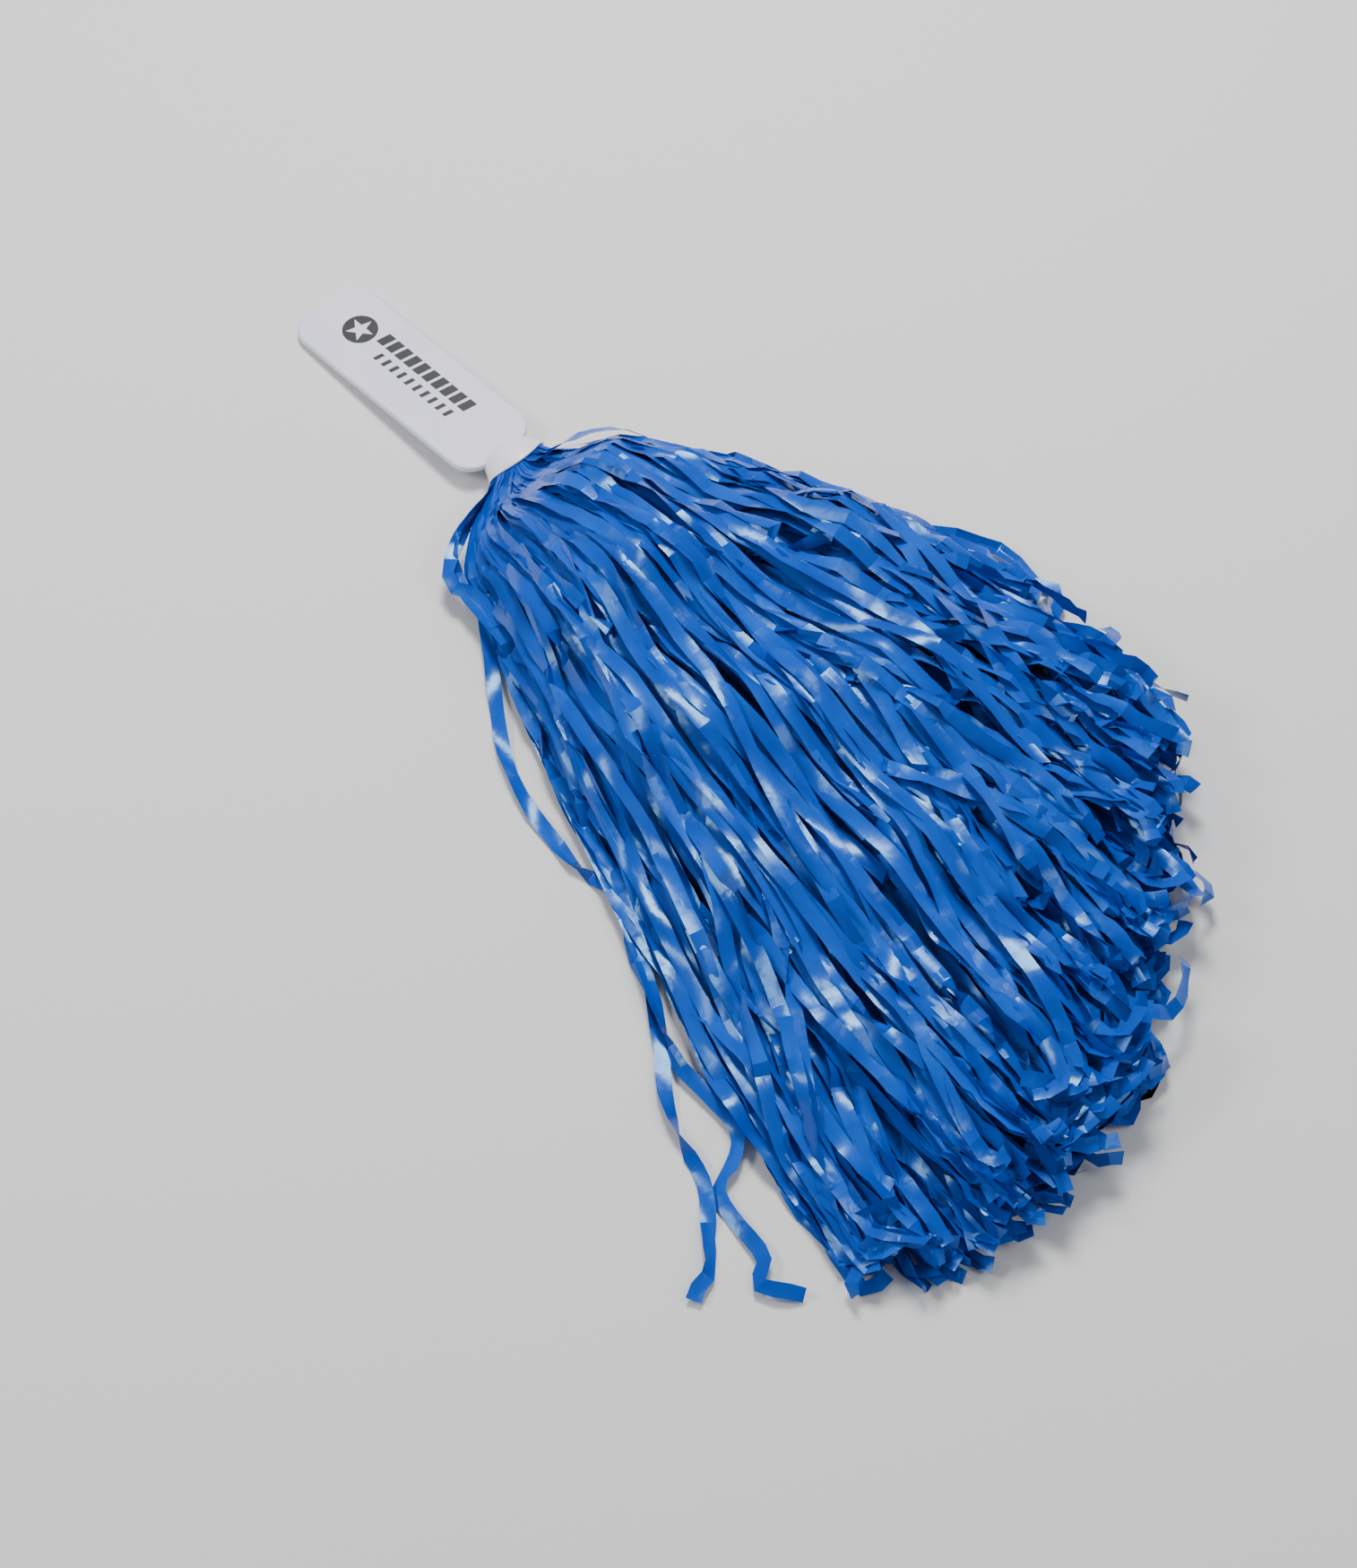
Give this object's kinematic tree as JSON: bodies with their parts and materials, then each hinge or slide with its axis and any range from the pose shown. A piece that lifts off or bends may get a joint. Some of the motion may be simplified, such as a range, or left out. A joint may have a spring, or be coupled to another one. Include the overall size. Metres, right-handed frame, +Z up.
{
  "type": "cheer pom pom",
  "caption": "Cheer pom pom laid flat: a white paddle handle with a flared collar and a fanned bundle of glossy blue plastic film streamers.",
  "frame": {"origin": "middle of the footprint, on the plane the object lies on", "axes": "+X runs from the paddle handle to the streamers' ends, +Z is up, +Y is to the left when looking along +X"},
  "size_m": [0.5048, 0.3186, 0.058],
  "materials": {
    "paddle_plastic": "satin moulded white with a faint cool tint",
    "collar_plastic": "satin moulded white",
    "streamer_film": "glossy creased vinyl film",
    "tape": "satin adhesive tape",
    "staple_wire": "drawn wire"
  },
  "bodies": {
    "handle": {"paddle_handle": "paddle_plastic", "collar": "collar_plastic", "header_tape": "tape", "staples": "staple_wire", "sheet_01_header": "streamer_film", "sheet_02_header": "streamer_film", "sheet_03_header": "streamer_film", "sheet_04_header": "streamer_film", "sheet_05_header": "streamer_film", "sheet_06_header": "streamer_film", "sheet_07_header": "streamer_film", "sheet_08_header": "streamer_film", "sheet_09_header": "streamer_film", "sheet_10_header": "streamer_film", "sheet_11_header": "streamer_film", "sheet_12_header": "streamer_film"},
    "throat": {"bundle_throat": "streamer_film"},
    "streamers": {"sheet_01_streamers": "streamer_film", "sheet_02_streamers": "streamer_film", "sheet_03_streamers": "streamer_film", "sheet_04_streamers": "streamer_film", "sheet_05_streamers": "streamer_film", "sheet_06_streamers": "streamer_film", "sheet_07_streamers": "streamer_film", "sheet_08_streamers": "streamer_film", "sheet_09_streamers": "streamer_film", "sheet_10_streamers": "streamer_film", "sheet_11_streamers": "streamer_film", "sheet_12_streamers": "streamer_film"}
  },
  "joints": [
    {"name": "streamers_nod", "type": "hinge", "parent": "handle", "child": "throat", "pos_m": [-0.11961, 0.04185, 0.00875], "axis": [0, 1, 0], "range_deg": [-60, 60]},
    {"name": "streamers_sway", "type": "hinge", "parent": "throat", "child": "streamers", "pos_m": [-0.11961, 0.04185, 0.00875], "axis": [0, 0, 1], "range_deg": [-30, 30]}
  ]
}
